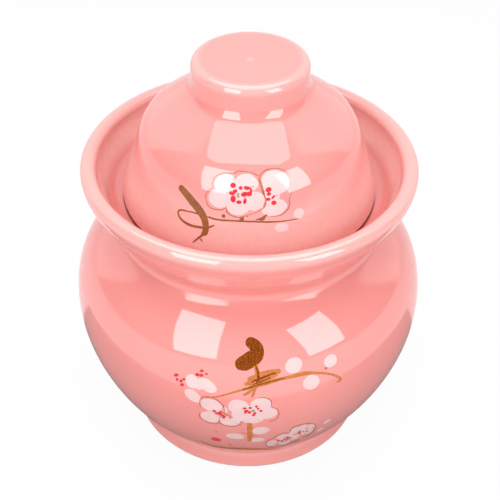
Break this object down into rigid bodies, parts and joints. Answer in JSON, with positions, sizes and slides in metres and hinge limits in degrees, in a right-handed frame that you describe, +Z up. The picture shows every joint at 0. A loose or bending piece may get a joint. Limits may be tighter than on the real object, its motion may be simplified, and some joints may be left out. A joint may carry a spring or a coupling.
{
  "type": "water seal pickle jar",
  "caption": "Glazed ceramic pickling jar with a round belly, a water channel round the neck, a dome lid that seals in the channel and a flat inner lid.",
  "frame": {"origin": "centre of the foot ring, on the surface that the jar stands on", "axes": "+Z up along the jar's axis, -Y towards the painted front, +X to the right seen from the front"},
  "size_m": [0.1674, 0.1674, 0.1995],
  "materials": {
    "jar_glaze": "glossy pink glaze",
    "lid_glaze": "glossy pink glaze",
    "inner_glaze": "glossy pink glaze"
  },
  "bodies": {
    "jar": {"jar_body": "jar_glaze"},
    "dome": {"dome_lid": "lid_glaze"},
    "inner": {"inner_lid": "inner_glaze"}
  },
  "joints": [
    {"name": "dome_lid_lift", "type": "slide", "parent": "jar", "child": "dome", "axis": [0, 0, 1], "range_m": [0, 0.12]},
    {"name": "inner_lid_lift", "type": "slide", "parent": "jar", "child": "inner", "axis": [0, 0, 1], "range_m": [0, 0.06]}
  ],
  "couplings": [
    {"joint": "inner_lid_lift", "follows": "dome_lid_lift", "ratio": 0.5}
  ]
}
